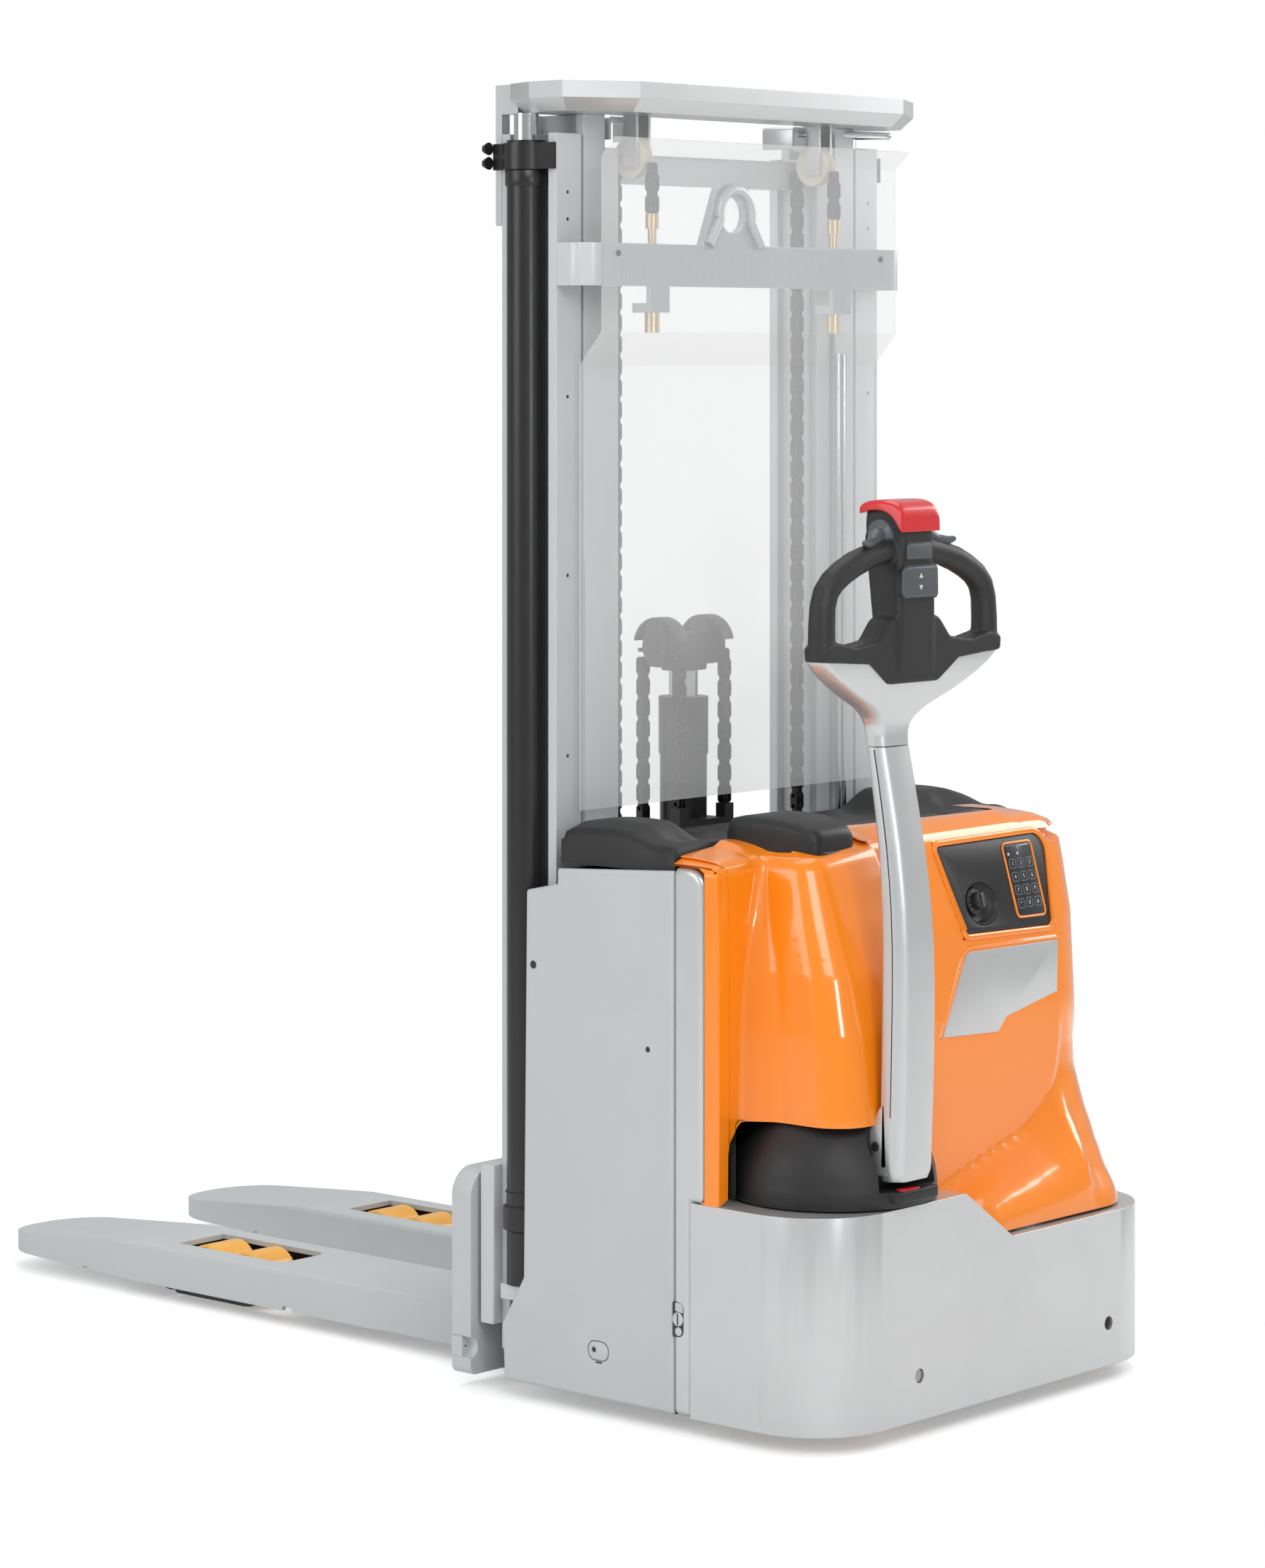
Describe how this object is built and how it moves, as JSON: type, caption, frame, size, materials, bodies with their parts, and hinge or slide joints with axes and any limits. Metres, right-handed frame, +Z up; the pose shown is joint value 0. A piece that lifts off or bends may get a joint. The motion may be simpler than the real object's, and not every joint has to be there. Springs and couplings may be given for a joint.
{
  "type": "electric pallet stacker",
  "caption": "Pedestrian electric stacker with an offset steered drive wheel and tiller, a triplex mast and forks over roller legs.",
  "frame": {"origin": "middle of the bounding box, on the floor", "axes": "+Z up, +Y towards the fork tips, +X to the right of someone standing behind the tiller"},
  "size_m": [0.8217, 1.8731, 1.89],
  "materials": {
    "silver": "satin metallic",
    "light_grey": "satin",
    "mast_grey": "satin",
    "orange": "gloss",
    "black": "fine texture",
    "dark_steel": "satin",
    "chrome": "polished",
    "roller": "satin",
    "red": "gloss",
    "clear": "clear",
    "cream": "satin",
    "brass": "satin",
    "chain": "oiled",
    "casing": "matte"
  },
  "bodies": {
    "chassis": {"chassis_base": "dark_steel", "battery": "casing", "skirt": "silver", "rear_columns": "silver", "side_panels": "light_grey", "rear_cover": "orange", "control_panel": "black", "steering_cap": "black", "tray_cover": "black", "outer_mast_rails": "mast_grey", "mast_crossbar": "mast_grey", "mast_foot": "mast_grey", "mast_brackets": "mast_grey", "lift_cylinders": "dark_steel", "cylinder_clamps": "dark_steel", "mast_guard": "clear", "chain_anchors": "brass", "lift_chain_rear": "chain", "support_legs": "dark_steel", "leg_rockers": "dark_steel", "castor_mount": "dark_steel"},
    "middle_mast": {"middle_mast_rails": "mast_grey", "mast_top_plate": "silver", "middle_mast_tie": "mast_grey", "lift_rods": "chrome", "chain_sheaves": "cream", "lift_chain_front": "chain", "middle_mast_rollers": "dark_steel", "hydraulic_pipes": "silver", "hose_cover": "light_grey"},
    "inner_mast": {"inner_mast_rails": "mast_grey", "inner_mast_ties": "mast_grey", "inner_mast_rollers": "dark_steel", "free_lift_cylinder": "dark_steel", "free_lift_anchors": "dark_steel", "carriage_chain_rear": "chain"},
    "free_lift": {"free_lift_rod": "chrome", "free_lift_head": "dark_steel", "free_lift_sheaves": "dark_steel", "carriage_chain_front": "chain"},
    "carriage": {"carriage_plate": "light_grey", "roller_plates": "light_grey", "carriage_rollers": "dark_steel", "forks": "light_grey"},
    "steering": {"steering_dome": "black", "drive_unit": "dark_steel"},
    "drive_wheel": {"drive_wheel": "roller"},
    "tiller": {"tiller_arm": "silver", "tiller_neck": "silver", "tiller_head": "black", "belly_button": "red"},
    "castor": {"castor_fork": "dark_steel"},
    "castor_wheel": {"castor_wheel": "roller"},
    "roller_left_front": {"leg_roller_left_front": "roller"},
    "roller_left_rear": {"leg_roller_left_rear": "roller"},
    "roller_right_front": {"leg_roller_right_front": "roller"},
    "roller_right_rear": {"leg_roller_right_rear": "roller"}
  },
  "joints": [
    {"name": "middle_mast_lift", "type": "slide", "parent": "chassis", "child": "middle_mast", "axis": [0, 0, 1], "range_m": [0, 1.25], "deforming": ["lift_chain_rear"]},
    {"name": "inner_mast_lift", "type": "slide", "parent": "middle_mast", "child": "inner_mast", "axis": [0, 0, 1], "range_m": [0, 1.25], "deforming": ["lift_chain_front"]},
    {"name": "free_lift", "type": "slide", "parent": "inner_mast", "child": "free_lift", "axis": [0, 0, 1], "range_m": [0, 0.64], "deforming": ["carriage_chain_rear"]},
    {"name": "carriage_lift", "type": "slide", "parent": "free_lift", "child": "carriage", "axis": [0, 0, 1], "range_m": [0, 0.64], "deforming": ["carriage_chain_front"]},
    {"name": "steer", "type": "hinge", "parent": "chassis", "child": "steering", "pos_m": [-0.21, -0.7775, 0.115], "axis": [0, 0, 1], "range_deg": [-80, 40]},
    {"name": "drive_wheel_roll", "type": "hinge", "parent": "steering", "child": "drive_wheel", "pos_m": [-0.21, -0.7775, 0.115], "axis": [1, 0, 0], "continuous": true},
    {"name": "tiller_lower", "type": "hinge", "parent": "steering", "child": "tiller", "pos_m": [-0.21, -0.9045, 0.413], "axis": [1, 0, 0], "range_deg": [0, 75], "stiffness_Nm_per_rad": 30, "springref_deg": -34.38},
    {"name": "castor_swivel", "type": "hinge", "parent": "chassis", "child": "castor", "pos_m": [0.268, -0.7665, 0.175], "axis": [0, 0, 1], "continuous": true},
    {"name": "castor_roll", "type": "hinge", "parent": "castor", "child": "castor_wheel", "pos_m": [0.268, -0.7385, 0.07], "axis": [1, 0, 0], "continuous": true},
    {"name": "left_front_roller_roll", "type": "hinge", "parent": "chassis", "child": "roller_left_front", "pos_m": [-0.184, 0.4925, 0.0425], "axis": [1, 0, 0], "continuous": true},
    {"name": "left_rear_roller_roll", "type": "hinge", "parent": "chassis", "child": "roller_left_rear", "pos_m": [-0.184, 0.4025, 0.0425], "axis": [1, 0, 0], "continuous": true},
    {"name": "right_front_roller_roll", "type": "hinge", "parent": "chassis", "child": "roller_right_front", "pos_m": [0.196, 0.4925, 0.0425], "axis": [1, 0, 0], "continuous": true},
    {"name": "right_rear_roller_roll", "type": "hinge", "parent": "chassis", "child": "roller_right_rear", "pos_m": [0.196, 0.4025, 0.0425], "axis": [1, 0, 0], "continuous": true}
  ],
  "couplings": [
    {"joint": "inner_mast_lift", "follows": "middle_mast_lift", "ratio": 1},
    {"joint": "carriage_lift", "follows": "free_lift", "ratio": 1}
  ]
}
